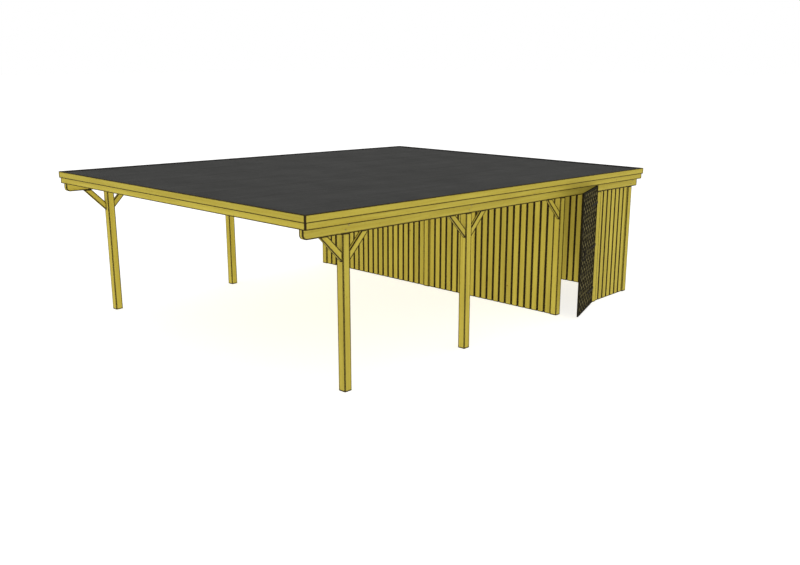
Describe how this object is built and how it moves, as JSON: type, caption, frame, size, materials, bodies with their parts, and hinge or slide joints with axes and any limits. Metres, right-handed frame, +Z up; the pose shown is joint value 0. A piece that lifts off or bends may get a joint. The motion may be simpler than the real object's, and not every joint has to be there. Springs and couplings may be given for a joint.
{
  "type": "timber carport with a shed",
  "caption": "Wide flat-roofed timber carport on square posts with knee braces, and a boarded shed with a side door across its rear",
  "frame": {"origin": "centre of the foot of the post in the middle of the shed's front wall, at ground level", "axes": "+X to the side with the shed door, +Y from the car bay to the shed, +Z up"},
  "size_m": [6.2938, 8.0005, 2.4079],
  "materials": {
    "pine": "pressure-treated sawn and planed pine, yellow-green, matt",
    "felt": "mineral-surfaced bitumen roofing felt, dark grey, matt",
    "door_wood": "dark olive-brown stained boards and laths, matt",
    "door_iron": "black painted iron, satin",
    "zinc_plated_steel": "zinc-plated steel, yellow-passivated, dull"
  },
  "bodies": {
    "carport": {"post_front_right": "pine", "post_front_left": "pine", "post_middle_right": "pine", "post_middle_left": "pine", "shed_post_front_right": "pine", "shed_post_front_left": "pine", "shed_post_front_middle": "pine", "shed_post_rear_right": "pine", "shed_post_rear_left": "pine", "shed_post_rear_middle": "pine", "door_posts": "pine", "beam_right": "pine", "beam_left": "pine", "brace_front_right_fore": "pine", "brace_front_right_aft": "pine", "brace_middle_right_fore": "pine", "brace_middle_right_aft": "pine", "brace_shed_right": "pine", "brace_front_left_fore": "pine", "brace_front_left_aft": "pine", "brace_middle_left_fore": "pine", "brace_middle_left_aft": "pine", "brace_shed_left": "pine", "rafters": "pine", "roof_boarding": "pine", "lower_fascia_front": "pine", "lower_fascia_rear": "pine", "lower_fascia_right": "pine", "lower_fascia_left": "pine", "upper_fascia_front": "pine", "upper_fascia_rear": "pine", "upper_fascia_right": "pine", "upper_fascia_left": "pine", "front_wall_left": "pine", "front_wall_right": "pine", "rear_wall_left": "pine", "rear_wall_right": "pine", "left_wall": "pine", "right_wall": "pine", "roof_felt": "felt", "hinge_pintles": "zinc_plated_steel"},
    "door": {"door_leaf": "door_wood", "door_ledges": "door_wood", "door_straps": "door_iron", "door_handle": "door_iron"}
  },
  "joints": [
    {"name": "door_hinge", "type": "hinge", "parent": "carport", "child": "door", "pos_m": [2.937, 0.996, 0], "axis": [0, 0, 1], "range_deg": [-18.5, 91.5]}
  ]
}
